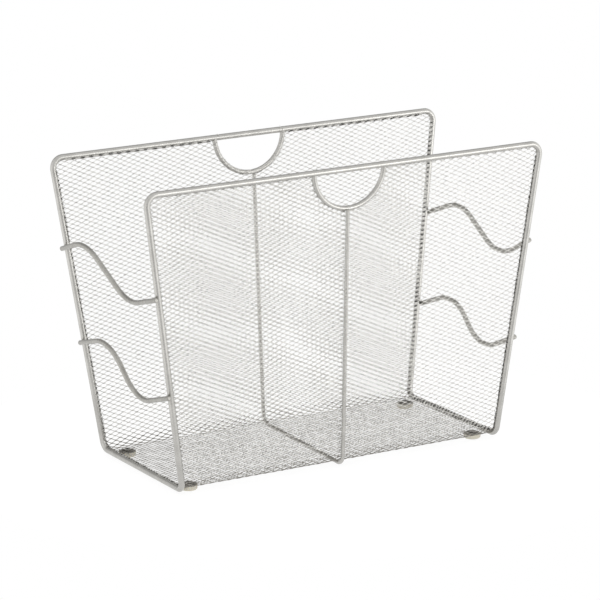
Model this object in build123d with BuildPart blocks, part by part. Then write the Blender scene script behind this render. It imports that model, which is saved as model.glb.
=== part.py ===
"""Wire magazine rack: a bent wire frame that holds a U of expanded metal, with handle cut-outs.

The rack stands on z = 0 with its length along X and its front towards -Y. The origin is the middle of
its footprint on the floor. The frame surface is the set of planes through the frame wire's centreline:
a front and a back panel that lean outwards, two ends that flare outwards, and a level base.
"""

from build123d import *
from math import atan, cos, hypot, sin, tan
import os

os.makedirs("parts", exist_ok=True)

# Frame, centre to centre of the wire (mm)
TOP_LENGTH = 400.0
BASE_LENGTH = 325.0
TOP_DEPTH = 180.0
BASE_DEPTH = 150.0
FRAME_RISE = 270.0
BASE_Z = 5.5
FRAME_WIRE = 5.5
TOP_BEND = 9.5
BASE_BEND = 8.0

# Expanded metal sheet, modelled at its outer thickness
SHEET = 0.8
EDGE_GAP = 0.05

# Handle arcs and centre rib
HANDLE_R = 35.5
HANDLE_WIRE = 4.5
HANDLE_INSET = 0.4
RIB_WIRE = 3.5
RIB_X = 1.6
RIB_SKEW = 6.0
RIB_LAP = 1.2

# S-shaped end wires: corner points as (y, height above the base wires), then the two bend radii
S_WIRE = 4.5
WELD_SEAT = 0.4
TIP_ROUND = 1.2
LEFT, RIGHT = -1, 1
S_WIRES = {
    "left_upper_s_wire": (LEFT, ((88, 188), (36, 205), (-33, 163), (-90, 179)), (49, 49)),
    "left_lower_s_wire": (LEFT, ((81, 101), (18.5, 118.5), (-21.5, 70), (-86, 89.5)), (42, 37)),
    "right_upper_s_wire": (RIGHT, ((88.5, 173), (34, 193.5), (-39, 156), (-85, 181.5)), (49, 49)),
    "right_lower_s_wire": (RIGHT, ((82, 87), (25.5, 108.5), (-27, 67), (-80.5, 91.5)), (47, 45)),
}

# Feet and their fixings
FOOT_X = 147.5
FOOT_Y = 58.5
FOOT_TOP_D = 16.0
FOOT_TAPER = 6.0
FOOT_ROUND = 2.0
SCREW_D = 3.0
SCREW_BITE = 3.2
SCREW_HEAD_D = 6.0
SCREW_HEAD_H = 1.2
SCREW_HEAD_ROUND = 0.6
RECESS_LENGTH = 3.4
RECESS_WIDTH = 0.9
RECESS_DEPTH = 0.7
WASHER_D = 14.0
WASHER_T = 0.6

# Worked out from the above
TOP_Z = BASE_Z + FRAME_RISE
PANEL_LEAN = atan((TOP_DEPTH - BASE_DEPTH) / 2 / FRAME_RISE)
END_LEAN = atan((TOP_LENGTH - BASE_LENGTH) / 2 / FRAME_RISE)
SHEET_UNDERSIDE = BASE_Z - SHEET / 2
SHEET_TOP = BASE_Z + SHEET / 2
FOOT_HEIGHT = SHEET_UNDERSIDE - WASHER_T
SHEET_SETBACK = FRAME_WIRE / 2 + EDGE_GAP
RIB_INSET = -(SHEET / 2 + EDGE_GAP + RIB_WIRE / 2)
FOOT_PLACES = [(x, y) for x in (-FOOT_X, FOOT_X) for y in (-FOOT_Y, FOOT_Y)]


def half_length(z):
    """Half the frame's length at height z."""
    return BASE_LENGTH / 2 + (z - BASE_Z) * tan(END_LEAN)


def u_points(inset):
    """Front top, two base corners and back top of the frame's U, as (y, z), moved in by inset."""
    base_y = BASE_DEPTH / 2 - inset * (1 - sin(PANEL_LEAN)) / cos(PANEL_LEAN)
    base_z = BASE_Z + inset
    top_y = TOP_DEPTH / 2 - inset * cos(PANEL_LEAN)
    top_z = TOP_Z + inset * sin(PANEL_LEAN)
    return [(-top_y, top_z), (-base_y, base_z), (base_y, base_z), (top_y, top_z)]


def panel_plane(side, inset):
    """Plane of the front (-1) or back (+1) panel, moved in by inset: x is +X and y runs up the panel."""
    middle = (0, side * (TOP_DEPTH / 2 - inset * cos(PANEL_LEAN)), TOP_Z + inset * sin(PANEL_LEAN))
    return Plane(middle, x_dir=(1, 0, 0), z_dir=(0, -cos(PANEL_LEAN), side * sin(PANEL_LEAN)))


def end_plane(side, outset):
    """Plane of the left (-1) or right (+1) end, moved out by outset: x is +Y and y runs up the end."""
    middle = (side * (BASE_LENGTH / 2 + outset * cos(END_LEAN)), 0, BASE_Z - outset * sin(END_LEAN))
    return Plane(middle, x_dir=(0, 1, 0), z_dir=(cos(END_LEAN), 0, -side * sin(END_LEAN)))


def section_plane(path):
    """Plane square to the start of a path, for the wire's round section."""
    return Plane(path @ 0, z_dir=path % 0)


def finish(piece, name):
    """Label a finished piece and write it."""
    piece.part.label = name
    export_step(piece.part, f"parts/{name}.step")


# Frame: one closed loop of wire. It runs along the front rail, down the front right leg, across the
# base at the right end, up to the back rail, and back by the left end.
frame_corners = []
for x_side, depth_order in ((LEFT, (1, -1)), (RIGHT, (-1, 1))):
    first, last = depth_order
    top_x, base_x = x_side * TOP_LENGTH / 2, x_side * BASE_LENGTH / 2
    frame_corners += [
        (top_x, first * TOP_DEPTH / 2, TOP_Z),
        (base_x, first * BASE_DEPTH / 2, BASE_Z),
        (base_x, last * BASE_DEPTH / 2, BASE_Z),
        (top_x, last * TOP_DEPTH / 2, TOP_Z),
    ]
frame_bends = [TOP_BEND, BASE_BEND, BASE_BEND, TOP_BEND] * 2

with BuildPart() as frame_wire:
    with BuildLine() as frame_loop:
        FilletPolyline(*frame_corners, radius=frame_bends, close=True)
    with BuildSketch(section_plane(frame_loop.line)):
        Circle(FRAME_WIRE / 2)
    sweep(path=frame_loop.line)
finish(frame_wire, "frame_wire")

# Sheet: one piece of expanded metal bent into a U, level with the middle of the frame wire. It fills the
# frame from wire to wire, and is cut away inside the two handle arcs.
sheet_z = TOP_Z - SHEET_SETBACK * cos(PANEL_LEAN)
side_setback = SHEET_SETBACK / cos(END_LEAN)
with BuildPart() as mesh_sheet:
    with BuildSketch(Plane.YZ):
        with BuildLine():
            outer = FilletPolyline(*u_points(-SHEET / 2), radius=BASE_BEND + SHEET / 2)
            inner = FilletPolyline(*u_points(SHEET / 2), radius=BASE_BEND - SHEET / 2)
            Line(outer @ 0, inner @ 0)
            Line(outer @ 1, inner @ 1)
        make_face()
    extrude(amount=TOP_LENGTH, both=True)
    with BuildSketch(Plane.XZ):
        with BuildLine():
            Polyline(
                (side_setback - half_length(0), 0),
                (half_length(0) - side_setback, 0),
                (half_length(sheet_z) - side_setback, sheet_z),
                (side_setback - half_length(sheet_z), sheet_z),
                close=True,
            )
        sheet_outline = make_face()
        fillet(sheet_outline.vertices().group_by(Axis.Z)[-1], radius=TOP_BEND - SHEET_SETBACK)
        with Locations((0, TOP_Z)):
            Circle(HANDLE_R + HANDLE_WIRE / 2 + EDGE_GAP, mode=Mode.SUBTRACT)
    extrude(amount=TOP_DEPTH, both=True, mode=Mode.INTERSECT)
    with BuildSketch(Plane.XY.offset(SHEET_UNDERSIDE)):
        with Locations(*FOOT_PLACES):
            Circle(SCREW_D / 2)
    extrude(amount=SHEET, mode=Mode.SUBTRACT)
finish(mesh_sheet, "mesh_sheet")


def handle_arc(side):
    """Half round of wire under a top rail, its ends shaped to sit against the rail."""
    with BuildPart() as arc:
        with BuildLine(panel_plane(side, HANDLE_INSET)) as path:
            CenterArc((0, 0), HANDLE_R, 180, 180)
        with BuildSketch(section_plane(path.line)):
            Circle(HANDLE_WIRE / 2)
        sweep(path=path.line)
        with BuildSketch(Plane.YZ.offset(-TOP_LENGTH / 2)):
            with Locations((side * TOP_DEPTH / 2, TOP_Z)):
                Circle(FRAME_WIRE / 2)
        extrude(amount=TOP_LENGTH, mode=Mode.SUBTRACT)
    return arc


front_handle_arc = handle_arc(-1)
finish(front_handle_arc, "front_handle_arc")
back_handle_arc = handle_arc(1)
finish(back_handle_arc, "back_handle_arc")

# Rib: one wire on the outside of the sheet, from the front arc, down the panel, under the base and up to
# the back arc. It was set by hand, so its plane turns a little about the vertical. Its ends lap a
# little way onto the arcs and are shaped to them.
rib_points = u_points(RIB_INSET)
rib_top = TOP_Z - (HANDLE_R + HANDLE_WIRE / 2 - RIB_LAP) * cos(PANEL_LEAN)
rib_half_depth = BASE_DEPTH / 2 + (rib_top - BASE_Z) * tan(PANEL_LEAN) - RIB_INSET / cos(PANEL_LEAN)
rib_turn = RIB_SKEW / BASE_DEPTH
rib_stretch = hypot(1, rib_turn)
rib_corners = [(-rib_half_depth, rib_top), *rib_points[1:3], (rib_half_depth, rib_top)]
rib_route = [(y * rib_stretch, z) for y, z in rib_corners]
rib_plane = Plane((RIB_X, 0, 0), x_dir=(rib_turn, 1, 0), z_dir=(1, -rib_turn, 0))

with BuildPart() as centre_rib:
    with BuildLine(rib_plane) as rib_path:
        FilletPolyline(*rib_route, radius=BASE_BEND - RIB_INSET)
    with BuildSketch(section_plane(rib_path.line)):
        Circle(RIB_WIRE / 2)
    sweep(path=rib_path.line)
    add(front_handle_arc.part, mode=Mode.SUBTRACT)
    add(back_handle_arc.part, mode=Mode.SUBTRACT)
finish(centre_rib, "centre_rib")

# End wires: each lies on the outside of two legs, with a shallow seat where it is welded to them.
s_outset = (FRAME_WIRE + S_WIRE) / 2 - WELD_SEAT
for name, (side, corners, bends) in S_WIRES.items():
    s_route = [(y, height / cos(END_LEAN)) for y, height in corners]
    with BuildPart() as s_wire:
        with BuildLine(end_plane(side, s_outset)) as s_path:
            FilletPolyline(*s_route, radius=bends)
        with BuildSketch(section_plane(s_path.line)):
            Circle(S_WIRE / 2)
        sweep(path=s_path.line)
        tips = s_wire.edges().filter_by(GeomType.CIRCLE).sort_by(Axis.Y)
        fillet([tips[0], tips[-1]], radius=TIP_ROUND)
        add(frame_wire.part, mode=Mode.SUBTRACT)
    finish(s_wire, name)

# Feet: soft round pads under the base, each with a blind hole for its screw.
for x, y in FOOT_PLACES:
    with BuildPart() as foot:
        with BuildSketch(Plane.XY.offset(FOOT_HEIGHT)):
            with Locations((x, y)):
                Circle(FOOT_TOP_D / 2)
        extrude(amount=-FOOT_HEIGHT, taper=FOOT_TAPER)
        fillet(foot.edges().group_by(Axis.Z)[0], radius=FOOT_ROUND)
        with Locations((x, y, FOOT_HEIGHT)):
            Hole(SCREW_D / 2, depth=SCREW_BITE)
    depth_word = "front" if y < 0 else "back"
    length_word = "left" if x < 0 else "right"
    finish(foot, f"{depth_word}_{length_word}_foot")

# Each foot bears on the mesh through a washer, and its screw goes down through both.
with BuildPart() as foot_washers:
    with BuildSketch(Plane.XY.offset(FOOT_HEIGHT)):
        with Locations(*FOOT_PLACES):
            Circle(WASHER_D / 2)
            Circle(SCREW_D / 2, mode=Mode.SUBTRACT)
    extrude(amount=WASHER_T)
finish(foot_washers, "foot_washers")

with BuildPart() as foot_screws:
    with BuildSketch(Plane.XY.offset(SHEET_TOP)):
        with Locations(*FOOT_PLACES):
            Circle(SCREW_HEAD_D / 2)
    extrude(amount=SCREW_HEAD_H)
    fillet(foot_screws.edges().group_by(Axis.Z)[-1], radius=SCREW_HEAD_ROUND)
    with BuildSketch(Plane.XY.offset(SHEET_TOP + SCREW_HEAD_H)):
        with Locations(*FOOT_PLACES):
            Rectangle(RECESS_LENGTH, RECESS_WIDTH)
            Rectangle(RECESS_WIDTH, RECESS_LENGTH)
    extrude(amount=-RECESS_DEPTH, mode=Mode.SUBTRACT)
    with BuildSketch(Plane.XY.offset(SHEET_TOP)):
        with Locations(*FOOT_PLACES):
            Circle(SCREW_D / 2)
    extrude(amount=-(SHEET_TOP - FOOT_HEIGHT + SCREW_BITE))
finish(foot_screws, "foot_screws")
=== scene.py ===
import math

import bmesh
import bpy
import numpy as np
from mathutils import Matrix, Vector


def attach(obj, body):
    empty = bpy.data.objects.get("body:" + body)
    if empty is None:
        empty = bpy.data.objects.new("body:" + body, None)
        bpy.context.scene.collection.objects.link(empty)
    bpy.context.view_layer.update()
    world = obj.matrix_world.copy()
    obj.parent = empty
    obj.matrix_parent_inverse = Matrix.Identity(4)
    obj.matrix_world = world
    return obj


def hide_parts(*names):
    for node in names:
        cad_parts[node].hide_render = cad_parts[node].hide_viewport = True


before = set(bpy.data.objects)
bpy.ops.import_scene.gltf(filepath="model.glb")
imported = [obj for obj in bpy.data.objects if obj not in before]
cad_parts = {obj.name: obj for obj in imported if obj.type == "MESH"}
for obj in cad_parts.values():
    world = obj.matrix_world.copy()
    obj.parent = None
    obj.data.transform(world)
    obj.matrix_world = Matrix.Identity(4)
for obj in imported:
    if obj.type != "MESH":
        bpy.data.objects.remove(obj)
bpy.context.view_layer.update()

# A wire magazine rack with two leaning panels and a base of expanded metal. Metres, +Z up.
# The frame, arcs, rib, end wires, feet, washers and screws are the CAD nodes. The mesh sheet is
# made here as real expanded metal, strand by strand, and stands for the plain CAD sheet.
# x, s and h are the sheet's own coordinates: x along the rack, s along the fold line from the
# front rail (negative) under the base to the back rail, and h in from the wires' middle plane.

# ---------------------------------------------------------------- the rack's driving sizes
TOP_LENGTH = 0.400  # between the leg centres at the top rails
BASE_LENGTH = 0.325
TOP_DEPTH = 0.180  # between the centres of the two top rails
BASE_DEPTH = 0.150
FRAME_RISE = 0.270
BASE_Z = 0.0055  # height of the base wires' centres
FRAME_WIRE = 0.0055
BASE_BEND = 0.008  # centreline radius of the frame's bottom corners
TOP_BEND = 0.0095  # centreline radius of the frame's top corners
HANDLE_R = 0.0355
HANDLE_WIRE = 0.0045
PANEL_LEAN = math.atan((TOP_DEPTH - BASE_DEPTH) / 2 / FRAME_RISE)
END_SLOPE = (TOP_LENGTH - BASE_LENGTH) / 2 / FRAME_RISE

# ---------------------------------------------------------------- the expanded metal's sizes
LONG_WAY = 0.0091  # from knuckle to knuckle along a row
SHORT_WAY = 0.0042  # from knuckle to knuckle across the rows
KNUCKLE_HALF = 0.0009
STRAND_WIDTH = 0.00064
STRAND_THICKNESS = 0.00022
PANEL_TWIST = math.radians(24)  # how far the strands are turned out of the sheet
BASE_TWIST = math.radians(-6)
TWIST_SPREAD = math.radians(16)  # from one knuckle to the next
TWIST_LIMIT = 1.7  # the most that a knuckle's twist can be off, in spreads

# ---------------------------------------------------------------- how the mesh laps over the wires
LAP_CLEAR = 0.0005  # from a wire's surface to the middle of the mesh that laps over it
LAP_START = 1.25  # where the mesh starts to rise to a wire, in wrap radii from the wire's middle
LAP_TOUCH = math.acos(1 / LAP_START)  # how far round a wire the rising mesh meets it
WIRE_LAP_END = math.radians(62)  # how far round a frame wire the cut edge of the mesh goes
ARC_LAP_END = math.radians(150)
FRAME_WRAP = FRAME_WIRE / 2 + LAP_CLEAR  # radius of the lap round a frame wire
CRUMPLE_FADE = 0.002  # how far into a lap the crumple takes to reach its full size
EDGE_STEP = 0.0011  # spacing of the points along a strand where it laps over a wire
SPAN_STEP = 0.0001  # spacing of the points that find where a row of strands is cut
SPAN_MARGIN = 0.01  # how far past the legs those points go
SHORTEST_SPAN = 8  # in those points; a shorter bit of a row is left out

# ---------------------------------------------------------------- the folded-in edge under the laps, in painted shade and painted light
FOLD_DEPTH = 0.00030  # how far under the lapping strands it lies
FOLD_THICKNESS = 0.00010
FOLD_SLANT = 0.0009  # how far along the wire a tab leans, from its inner edge to its outer
BASE_TAB_PITCH = 0.0048
TAB_SHARE = 0.50  # of the pitch that a bright tab takes up
GAP_SHARE = 0.46
TAB_PLACE_SPREAD = 0.05  # in pitches
TAB_LENGTH_SPREAD = 0.12  # in tab lengths
TAB_POINTS = 4  # along a tab
TAB_BANDS = 4  # across a tab
# Each fold: how far in from the wire's middle it starts, and how far round the wire it ends.
LEG_FOLD = (0.0034, math.radians(60))
BASE_FOLD = (0.0038, math.radians(84))
FRONT_RAIL_FOLD = (0.0030, math.radians(58))
BACK_RAIL_FOLD = (0.0034, math.radians(58))
ARC_GAP = 0.003  # from an arc's middle to where the rail's fold starts

FAR = 1.0  # more than any distance on the rack
TINY = 1e-9  # keeps a distance that is divided by from being zero
noise_source = np.random.default_rng(7)


# ---------------------------------------------------------------- the mesh's folded surface
class FoldedPath:
    """The U through the frame wires' middles, from rail to rail, which s is measured along."""

    def __init__(self):
        self.turn = math.pi / 2 - PANEL_LEAN
        tangent = BASE_BEND * math.tan(self.turn / 2)
        self.base_half = BASE_DEPTH / 2 - tangent
        self.bend_end = self.base_half + BASE_BEND * self.turn
        self.top = self.bend_end + FRAME_RISE / math.cos(PANEL_LEAN) - tangent

    def at(self, s, h):
        """(y, z) of the point that is s along the path from its middle, and h in from it."""
        run = np.abs(s)
        angle = np.clip((run - self.base_half) / BASE_BEND, 0, self.turn)
        past = np.maximum(run - self.bend_end, 0)
        reach = BASE_BEND - h
        y = np.minimum(run, self.base_half) + reach * np.sin(angle) + past * np.cos(angle)
        z = BASE_Z + BASE_BEND - reach * np.cos(angle) + past * np.sin(angle)
        return np.sign(s) * y, z


path = FoldedPath()


def half_length(s):
    """How far from the rack's middle the leg or base wire is, at s along the folded path."""
    z = path.at(s, 0 * s)[1]
    return BASE_LENGTH / 2 + (z - BASE_Z) * END_SLOPE


def nearest_wire(x, s):
    """The distance in from the nearest wire's middle, the way in, and whether it is an arc."""
    to_leg = half_length(s) - np.abs(x)
    to_rail = path.top - np.abs(s)
    leg_nearer = to_leg < to_rail
    e = np.where(leg_nearer, to_leg, to_rail)
    dx = np.where(leg_nearer, -np.sign(x), 0.0)
    ds = np.where(leg_nearer, 0.0, -np.sign(s))
    in_corner = (to_leg < TOP_BEND) & (to_rail < TOP_BEND)
    cx, cs = TOP_BEND - to_leg, TOP_BEND - to_rail
    reach = np.maximum(np.hypot(cx, cs), TINY)
    e = np.where(in_corner, TOP_BEND - reach, e)
    dx = np.where(in_corner, -np.sign(x) * cx / reach, dx)
    ds = np.where(in_corner, -np.sign(s) * cs / reach, ds)
    from_handle = np.maximum(np.hypot(x, to_rail), TINY)
    to_arc = np.where(np.abs(s) > path.bend_end, from_handle - HANDLE_R, FAR)
    on_arc = to_arc < e
    e = np.where(on_arc, to_arc, e)
    dx = np.where(on_arc, x / from_handle, dx)
    ds = np.where(on_arc, -np.sign(s) * to_rail / from_handle, ds)
    return e, dx, ds, on_arc


def wrap_sizes(on_arc):
    """The wrap radius, and the angle round the wire where the mesh is cut."""
    wire = np.where(on_arc, HANDLE_WIRE, FRAME_WIRE)
    return wire / 2 + LAP_CLEAR, np.where(on_arc, ARC_LAP_END, WIRE_LAP_END)


def flat_place(radius, angle):
    """Where on the flat sheet, in from a wire's middle, the part is that wraps to this angle."""
    return radius * (LAP_START - math.tan(LAP_TOUCH) - (angle - LAP_TOUCH))


def lap_over_wires(x, s, h):
    """The flat sheet rises to each wire's inner side and laps over it."""
    e, dx, ds, on_arc = nearest_wire(x, s)
    radius, _ = wrap_sizes(on_arc)
    over = LAP_START * radius - e
    ramp_length = radius * math.tan(LAP_TOUCH)
    part = np.clip(over / ramp_length, 0, 1)
    angle = LAP_TOUCH + np.maximum(over - ramp_length, 0) / radius
    rise = h + crumple.at(x, s) * np.clip(over / CRUMPLE_FADE, 0, 1)
    cos_touch, sin_touch = math.cos(LAP_TOUCH), math.sin(LAP_TOUCH)
    ramp_e = LAP_START * radius * (1 - part) + radius * part * cos_touch + rise * cos_touch
    ramp_h = radius * part * sin_touch + rise * sin_touch
    round_e = (radius + rise) * np.cos(angle)
    round_h = (radius + rise) * np.sin(angle)
    new_e = np.where(over <= 0, e, np.where(over <= ramp_length, ramp_e, round_e))
    new_h = np.where(over <= 0, h, np.where(over <= ramp_length, ramp_h, round_h))
    slide = new_e - e
    return x + dx * slide, s + ds * slide, new_h


class Waves:
    """A seeded wander over the sheet: a sum of sine waves in all directions."""

    def __init__(self, size, count, shortest, longest):
        turns = noise_source.uniform(0, 2 * math.pi, count)
        length = noise_source.uniform(shortest, longest, count)
        self.kx = 2 * math.pi * np.cos(turns) / length
        self.ks = 2 * math.pi * np.sin(turns) / length
        self.phase = noise_source.uniform(0, 2 * math.pi, count)
        self.size = size / math.sqrt(count)

    def at(self, x, s):
        total = np.zeros_like(x)
        for kx, ks, phase in zip(self.kx, self.ks, self.phase):
            total += np.sin(kx * x + ks * s + phase)
        return total * self.size


# A stretched sheet's slow drift, and the fine crumple of its laps.
drift_x = Waves(size=0.0005, count=6, shortest=0.12, longest=0.4)
drift_s = Waves(size=0.0003, count=6, shortest=0.10, longest=0.4)
crumple = Waves(size=0.0002, count=10, shortest=0.004, longest=0.012)


def on_mesh(x, s, h):
    """The rack's coordinates of a point of the sheet, with its edges lapped over the wires."""
    x, s, h = lap_over_wires(x, s, h)
    y, z = path.at(s, h)
    return np.stack([x, y, z], axis=-1)


# ---------------------------------------------------------------- strands
class Strands:
    """Gathers strands of four-sided section into one mesh."""

    def __init__(self):
        self.points = []
        self.faces = []
        self.count = 0

    def add(self, corners):
        """corners is an array of n sections of 4 corners each, in the rack's frame."""
        n = len(corners)
        self.points.append(corners.reshape(-1, 3))
        start = self.count + 4 * np.arange(n - 1)[:, None]
        for a in range(4):
            b = (a + 1) % 4
            self.faces.append(start + np.array([[a, b, b + 4, a + 4]]))
        last = self.count + 4 * (n - 1)
        self.faces.append(np.array([[self.count + k for k in (3, 2, 1, 0)]]))
        self.faces.append(np.array([[last + k for k in (0, 1, 2, 3)]]))
        self.count += 4 * n

    def piece(self, name):
        """The mesh object of all that was added."""
        points = np.concatenate(self.points)
        faces = np.concatenate(self.faces)
        mesh = bpy.data.meshes.new(name)
        mesh.vertices.add(len(points))
        mesh.vertices.foreach_set("co", points.astype(np.float32).ravel())
        mesh.loops.add(faces.size)
        mesh.loops.foreach_set("vertex_index", faces.astype(np.int32).ravel())
        mesh.polygons.add(len(faces))
        mesh.polygons.foreach_set("loop_start", np.arange(0, faces.size, 4, dtype=np.int32))
        mesh.update(calc_edges=True)
        mesh.validate()
        piece = bpy.data.objects.new(name, mesh)
        bpy.context.scene.collection.objects.link(piece)
        return piece


def zigzag(row, x_from, x_to):
    """x, s, h and twist along the strand between knuckle rows row and row + 1."""
    half = LONG_WAY / 2
    knuckles = np.arange(math.floor(x_from / half) - 1, math.ceil(x_to / half) + 2)
    upper = (knuckles + row) % 2
    on_base = abs(row + 0.5) * SHORT_WAY / 2 < path.base_half
    lean = BASE_TWIST if on_base else PANEL_TWIST
    inner = STRAND_WIDTH / 2 * math.cos(lean)
    s = (row + upper) * SHORT_WAY / 2 + inner * (1 - 2 * upper)
    h = STRAND_WIDTH / 2 * math.sin(lean) * (1 - 2 * upper)
    xs = np.stack([knuckles * half - KNUCKLE_HALF, knuckles * half + KNUCKLE_HALF], 1).ravel()
    twist = lean + TWIST_SPREAD * noise_source.uniform(-TWIST_LIMIT, TWIST_LIMIT, len(knuckles))
    s, h, twist = np.repeat(s, 2), np.repeat(h, 2), np.repeat(twist, 2)
    fine = np.arange(x_from, x_to, EDGE_STEP)
    e, _, _, on_arc = nearest_wire(fine, np.full_like(fine, (row + 0.5) * SHORT_WAY / 2))
    lapping = fine[e < LAP_START * wrap_sizes(on_arc)[0] + EDGE_STEP]
    kept = np.concatenate([xs[(xs > x_from) & (xs < x_to)], lapping])
    x = np.unique(np.concatenate([[x_from], kept, [x_to]]))
    return x, np.interp(x, xs, s), np.interp(x, xs, h), np.interp(x, xs, twist)


def sheet_drift(x, s):
    """Where a point of the perfect lattice really is on the stretched sheet."""
    return x + drift_x.at(x, s), s + drift_s.at(x, s)


def strand(strands, row, x_from, x_to):
    """One strand, its section turned by the twist at each point."""
    x, s, h, twist = zigzag(row, x_from, x_to)
    x, s = sheet_drift(x, s)
    across = STRAND_WIDTH / 2
    deep = STRAND_THICKNESS / 2
    c, d = np.cos(twist), np.sin(twist)
    corners = []
    for u, v in ((-1, -1), (1, -1), (1, 1), (-1, 1)):
        ds = u * across * c - v * deep * d
        dh = u * across * d + v * deep * c
        corners.append(on_mesh(x, s + ds, h + dh))
    strands.add(np.stack(corners, axis=1))


def row_spans(row):
    """The stretches of x where a row of strands is on the sheet, from cut edge to cut edge."""
    x = np.arange(-TOP_LENGTH / 2 - SPAN_MARGIN, TOP_LENGTH / 2 + SPAN_MARGIN, SPAN_STEP)
    e, _, _, on_arc = nearest_wire(x, np.full_like(x, (row + 0.5) * SHORT_WAY / 2))
    on_sheet = np.concatenate([[False], e >= flat_place(*wrap_sizes(on_arc)), [False]])
    turns = np.flatnonzero(np.diff(on_sheet.astype(int)))
    spans = zip(turns[::2], turns[1::2])
    return [(x[a], x[b - 1]) for a, b in spans if b - a > SHORTEST_SPAN]


def mesh_part(name, s_from, s_to):
    """The rows of strands from s_from to s_to."""
    strands = Strands()
    for row in range(round(s_from / (SHORT_WAY / 2)), round(s_to / (SHORT_WAY / 2))):
        for x_from, x_to in row_spans(row):
            strand(strands, row, x_from, x_to)
    return strands.piece(name)


def fold_tab(strands, x, s, in_x, in_s, fold):
    """One tab of the folded-in edge: x and s along the wire's middle, and the way in from it."""
    e_from, turn = fold
    slant = np.linspace(0, FOLD_SLANT, TAB_BANDS + 1)
    edges = np.linspace(e_from, flat_place(FRAME_WRAP, turn), TAB_BANDS + 1)
    for k in range(TAB_BANDS):
        corners = []
        for band, h in ((k, 0), (k + 1, 0), (k + 1, FOLD_THICKNESS), (k, FOLD_THICKNESS)):
            tab_x = x + slant[band] * abs(in_s) + in_x * edges[band]
            tab_s = s + slant[band] * abs(in_x) + in_s * edges[band]
            corners.append(on_mesh(tab_x, tab_s, h - FOLD_DEPTH + 0 * x))
        strands.add(np.stack(corners, axis=1))


def fold_tabs(start, end, pitch, share, phase):
    """The stretches that the tabs take up along a wire, each a share of the pitch."""
    length = share * pitch
    for middle in np.arange(start + (0.5 + phase) * pitch, end - pitch / 2, pitch):
        near = middle + noise_source.normal(0, TAB_PLACE_SPREAD) * pitch
        half = length / 2 * (1 + noise_source.normal(0, TAB_LENGTH_SPREAD))
        yield np.linspace(near - half, near + half, TAB_POINTS)


def fold_piece(name, share, phase):
    """A row of tabs under the laps along the legs, the base wires and the rails."""
    strands = Strands()
    straight = path.top - TOP_BEND
    side_runs = [
        (-straight, -path.base_half, SHORT_WAY, LEG_FOLD),
        (-path.base_half, path.base_half, BASE_TAB_PITCH, BASE_FOLD),
        (path.base_half, straight, SHORT_WAY, LEG_FOLD),
    ]
    for side in (-1, 1):
        for start, end, pitch, fold in side_runs:
            for s in fold_tabs(start, end, pitch, share, phase):
                fold_tab(strands, side * half_length(s), s, -side, 0, fold)
        for face, fold in ((-1, FRONT_RAIL_FOLD), (1, BACK_RAIL_FOLD)):
            rail = (HANDLE_R + ARC_GAP, TOP_LENGTH / 2 - TOP_BEND)
            for x in fold_tabs(*rail, LONG_WAY, share, phase):
                fold_tab(strands, side * x, np.full_like(x, face * path.top), 0, -face, fold)
    return strands.piece(name)


# ---------------------------------------------------------------- materials
class Finish:
    """A material that varies by noise in the rack's own coordinates."""

    def __init__(self, name, metallic):
        self.material = bpy.data.materials.new(name)
        self.material.use_nodes = True
        self.nodes = self.material.node_tree.nodes
        self.links = self.material.node_tree.links
        self.inputs = self.nodes["Principled BSDF"].inputs
        self.inputs["Metallic"].default_value = metallic

    def noise(self, scale, detail):
        """3-D noise; scale is in cycles to the metre."""
        place = self.nodes.new("ShaderNodeTexCoord")
        texture = self.nodes.new("ShaderNodeTexNoise")
        texture.inputs["Scale"].default_value = scale
        texture.inputs["Detail"].default_value = detail
        self.links.new(place.outputs["Object"], texture.inputs["Vector"])
        return texture.outputs["Fac"]

    def colour(self, value, *stops):
        """Base colour by stops of (value, colour)."""
        band = self.nodes.new("ShaderNodeValToRGB")
        for element, (place, colour) in zip(band.color_ramp.elements, stops):
            element.position = place
            element.color = (*colour, 1)
        self.links.new(value, band.inputs["Fac"])
        self.links.new(band.outputs["Color"], self.inputs["Base Color"])

    def roughness(self, value, low, high):
        """Roughness from low to high over the middle of the value's range."""
        span = self.nodes.new("ShaderNodeMapRange")
        span.inputs["From Min"].default_value = 0.3
        span.inputs["From Max"].default_value = 0.7
        span.inputs["To Min"].default_value = low
        span.inputs["To Max"].default_value = high
        self.links.new(value, span.inputs["Value"])
        self.links.new(span.outputs["Result"], self.inputs["Roughness"])

    def bump(self, value, strength, distance):
        node = self.nodes.new("ShaderNodeBump")
        node.inputs["Strength"].default_value = strength
        node.inputs["Distance"].default_value = distance
        self.links.new(value, node.inputs["Height"])
        self.links.new(node.outputs["Normal"], self.inputs["Normal"])


def silver_wire(name, dull, bright):
    """Satin silver coat: a fine orange peel, and slightly thinner and warmer in places."""
    finish = Finish(name, metallic=0.9)
    finish.colour(finish.noise(90, 4), (0.35, dull), (0.65, bright))
    finish.roughness(finish.noise(400, 3), 0.22, 0.33)
    finish.bump(finish.noise(1800, 2), strength=0.25, distance=0.0001)
    return finish.material


def silver_mesh(name, dull, bright):
    """The same coat on cut strands, speckled dull to bright: painted glints for the facets catching
    the light.
    """
    finish = Finish(name, metallic=0.8)
    tone = finish.noise(700, 2)
    finish.colour(tone, (0.3, dull), (0.7, bright))
    finish.roughness(tone, 0.24, 0.36)
    finish.bump(finish.noise(2500, 2), strength=0.3, distance=0.0001)
    return finish.material


def fold_shadow():
    """Painted shade: a dark sheet under the laps that stands for the shade in the folds between
    mesh and wire.
    """
    finish = Finish("fold_shadow", metallic=0.3)
    finish.inputs["Roughness"].default_value = 0.7
    tone = finish.noise(900, 3)
    finish.colour(tone, (0.35, (0.03, 0.028, 0.025)), (0.65, (0.10, 0.095, 0.09)))
    finish.bump(tone, strength=0.3, distance=0.0001)
    return finish.material


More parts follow.
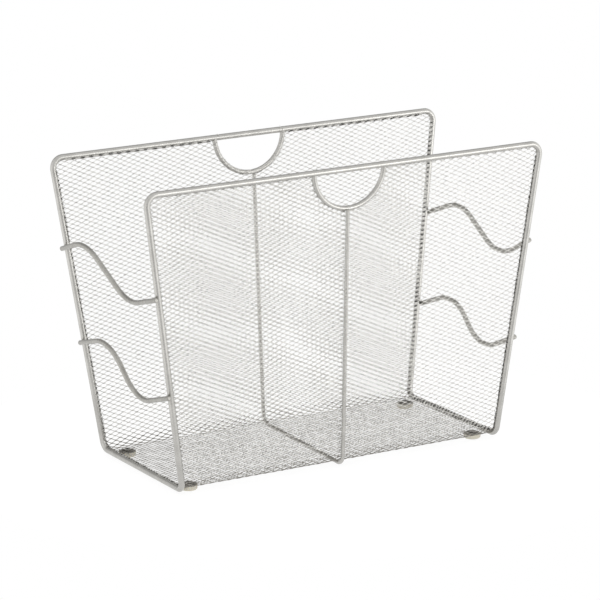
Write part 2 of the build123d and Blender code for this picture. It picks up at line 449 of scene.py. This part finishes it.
def fold_tab_steel():
    """Painted light: the tabs of the folded-in edge in a brighter copy of the silver coat, for
    their lit faces.
    """
    finish = Finish("fold_tab_steel", metallic=0.25)
    finish.inputs["Roughness"].default_value = 0.45
    tone = finish.noise(700, 3)
    finish.colour(tone, (0.3, (0.70, 0.69, 0.66)), (0.7, (0.86, 0.85, 0.82)))
    finish.bump(tone, strength=0.3, distance=0.0001)
    return finish.material


def foot_pad():
    """Soft cream plastic, a little see-through, with a matt skin."""
    finish = Finish("foot_pad", metallic=0.0)
    finish.inputs["Roughness"].default_value = 0.55
    finish.inputs["Subsurface Weight"].default_value = 0.25
    finish.inputs["Subsurface Radius"].default_value = (0.004, 0.003, 0.002)
    finish.colour(finish.noise(120, 3), (0.3, (0.53, 0.50, 0.42)), (0.7, (0.62, 0.59, 0.50)))
    finish.bump(finish.noise(900, 3), strength=0.2, distance=0.0002)
    return finish.material


def fixing_steel():
    """Dull zinc, scratched by the driver."""
    finish = Finish("fixing_steel", metallic=1.0)
    tone = finish.noise(600, 4)
    finish.colour(tone, (0.35, (0.22, 0.215, 0.20)), (0.65, (0.40, 0.39, 0.37)))
    finish.roughness(tone, 0.3, 0.5)
    finish.bump(finish.noise(2200, 2), strength=0.3, distance=0.0001)
    return finish.material


def floor_paper():
    """Plain pale paper, lit from within so that it meets the white backdrop without an edge."""
    finish = Finish("floor_paper", metallic=0.0)
    finish.inputs["Roughness"].default_value = 0.9
    finish.inputs["Specular IOR Level"].default_value = 0.0
    finish.inputs["Emission Color"].default_value = (1, 1, 1, 1)
    finish.inputs["Emission Strength"].default_value = 0.90
    finish.colour(finish.noise(40, 3), (0.3, (0.13, 0.13, 0.13)), (0.7, (0.15, 0.15, 0.15)))
    return finish.material


def paint(piece, material):
    """Gives the piece this material and no other."""
    piece.data.materials.clear()
    piece.data.materials.append(material)


# ---------------------------------------------------------------- the studio
AIM = Vector((0.0004, -0.0005, 0.1381))
CAMERA_DISTANCE = 3.1285
CAMERA_TURN = math.radians(29.902)
CAMERA_DROP = math.radians(14.444)
CAMERA_ROLL = math.radians(0.642)
CAMERA_LENS = 208.31
CAMERA_SENSOR = 36
FLOOR_RADIUS = 0.32


def add_camera():
    """The camera in front of the rack and to its left, looking down at AIM."""
    data = bpy.data.cameras.new("camera")
    data.lens = CAMERA_LENS
    data.sensor_width = CAMERA_SENSOR
    camera = bpy.data.objects.new("camera", data)
    turn = Matrix.Rotation(-CAMERA_TURN, 4, "Z")
    tip = Matrix.Rotation(math.pi / 2 - CAMERA_DROP, 4, "X")
    roll = Matrix.Rotation(-CAMERA_ROLL, 4, "Z")
    facing = turn @ tip @ roll
    back = facing @ Vector((0, 0, 1))
    camera.matrix_world = Matrix.Translation(AIM + back * CAMERA_DISTANCE) @ facing
    bpy.context.scene.collection.objects.link(camera)
    bpy.context.scene.camera = camera


def add_floor(material):
    """A small round floor, which the camera sees all of as white."""
    mesh = bpy.data.meshes.new("floor")
    shape = bmesh.new()
    bmesh.ops.create_circle(shape, cap_ends=True, segments=96, radius=FLOOR_RADIUS)
    shape.to_mesh(mesh)
    shape.free()
    floor = bpy.data.objects.new("floor", mesh)
    bpy.context.scene.collection.objects.link(floor)
    paint(floor, material)


def direction(azimuth, elevation):
    """The way to an azimuth (0 in front of the rack, 90 to its right) and elevation in degrees."""
    a, e = math.radians(azimuth), math.radians(elevation)
    return Vector((math.sin(a) * math.cos(e), -math.cos(a) * math.cos(e), math.sin(e)))


def add_softbox(name, azimuth, elevation, distance, size, power):
    """A square softbox that faces AIM."""
    data = bpy.data.lights.new(name, "AREA")
    data.shape = "SQUARE"
    data.size = size
    data.energy = power
    box = bpy.data.objects.new(name, data)
    away = direction(azimuth, elevation)
    turn = away.to_track_quat("Z", "Y").to_matrix().to_4x4()
    box.matrix_world = Matrix.Translation(AIM + away * distance) @ turn
    bpy.context.scene.collection.objects.link(box)


# The studio's soft light, as patches of sky: azimuth, elevation, the half angles where the patch
# starts to fade and where it is gone, all in degrees, and its strength.
SKY_PATCHES = [
    (30, -3, 6, 36, 0.75),  # front right window
    (95, -15, 20, 55, 0.35),  # right
    (-100, -20, 20, 55, 0.40),  # left
    (-30, -22, 12, 40, -0.20),  # the dim side that the camera is on
    (165, 35, 18, 52, -0.50),  # dim ceiling behind
]
SKY_BASE = 1.0


def sky_patch(nodes, links, ray, azimuth, elevation, full, faded, strength):
    """The strength that one patch adds to the sky along the ray."""
    facing = nodes.new("ShaderNodeVectorMath")
    facing.operation = "DOT_PRODUCT"
    facing.inputs[1].default_value = direction(azimuth, elevation)
    links.new(ray, facing.inputs[0])
    fade = nodes.new("ShaderNodeMapRange")
    fade.interpolation_type = "SMOOTHSTEP"
    fade.inputs["From Min"].default_value = math.cos(math.radians(faded))
    fade.inputs["From Max"].default_value = math.cos(math.radians(full))
    fade.inputs["To Max"].default_value = strength
    links.new(facing.outputs["Value"], fade.inputs["Value"])
    return fade.outputs["Result"]


def add_sky():
    """Soft light from all round; the backdrop that the camera sees is plain white."""
    world = bpy.data.worlds.new("studio")
    world.use_nodes = True
    nodes, links = world.node_tree.nodes, world.node_tree.links
    ray = nodes.new("ShaderNodeTexCoord").outputs["Generated"]
    total = nodes.new("ShaderNodeValue").outputs["Value"]
    total.default_value = SKY_BASE
    for patch in SKY_PATCHES:
        add = nodes.new("ShaderNodeMath")
        links.new(total, add.inputs[0])
        links.new(sky_patch(nodes, links, ray, *patch), add.inputs[1])
        total = add.outputs["Value"]
    light = nodes["Background"]
    light.inputs["Color"].default_value = (1, 1, 1, 1)
    links.new(total, light.inputs["Strength"])
    backdrop = nodes.new("ShaderNodeBackground")
    backdrop.inputs["Color"].default_value = (1, 1, 1, 1)
    choose = nodes.new("ShaderNodeMixShader")
    links.new(nodes.new("ShaderNodeLightPath").outputs["Is Camera Ray"], choose.inputs["Fac"])
    links.new(light.outputs["Background"], choose.inputs[1])
    links.new(backdrop.outputs["Background"], choose.inputs[2])
    links.new(choose.outputs["Shader"], nodes["World Output"].inputs["Surface"])
    bpy.context.scene.world = world


def stand_for_sheet(piece, material):
    """Makes the piece a part of what stands for the CAD's mesh sheet."""
    paint(piece, material)
    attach(piece, "root")
    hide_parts("mesh_sheet")


def paint_cad_nodes():
    wire = silver_wire("silver_wire", (0.435, 0.427, 0.405), (0.495, 0.486, 0.463))
    # The end S wires get painted shade: a darker copy of the wire coat, for the shade they lie in.
    end_wire_shaded = silver_wire("silver_end_wire_shaded", (0.33, 0.322, 0.299), (0.41, 0.401, 0.374))
    pad, steel = foot_pad(), fixing_steel()
    for name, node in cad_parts.items():
        if name.endswith("_s_wire"):
            paint(node, end_wire_shaded)
        elif "foot" not in name:
            paint(node, wire)
        elif name.endswith("_foot"):
            paint(node, pad)
        else:
            paint(node, steel)


def add_mesh_sheet():
    """The front, base and back mesh, and the painted-shade dark gaps and painted-lit bright tabs of
    its folded-in edge.
    """
    panel_coat = silver_mesh("silver_mesh", (0.45, 0.441, 0.418), (0.78, 0.767, 0.733))
    # The base's coat is painted shade: a darker copy of the panels' coat, for the shade under and
    # within the rack.
    base_shaded_coat = silver_mesh("silver_mesh_base_shaded", (0.19, 0.179, 0.160), (0.42, 0.402, 0.365))
    top = path.top + SHORT_WAY
    stand_for_sheet(mesh_part("front_mesh", -top, -path.bend_end), panel_coat)
    stand_for_sheet(mesh_part("base_mesh", -path.bend_end, path.bend_end), base_shaded_coat)
    stand_for_sheet(mesh_part("back_mesh", path.bend_end, top), panel_coat)
    # The dark gaps are painted shade: a dark sheet where the folds between mesh and wire lie in
    # shade.
    stand_for_sheet(fold_piece("mesh_fold_painted_shade", GAP_SHARE, 0.0), fold_shadow())
    # The tabs are painted light: a brighter copy of the coat, for the lit bars over the painted
    # shade.
    stand_for_sheet(fold_piece("mesh_fold_tabs", TAB_SHARE, 0.5), fold_tab_steel())


def main():
    add_camera()
    add_sky()
    add_softbox("key_softbox", azimuth=30, elevation=2, distance=2.2, size=0.8, power=4)
    add_floor(floor_paper())
    bpy.context.scene.view_settings.view_transform = "Standard"
    paint_cad_nodes()
    add_mesh_sheet()


main()
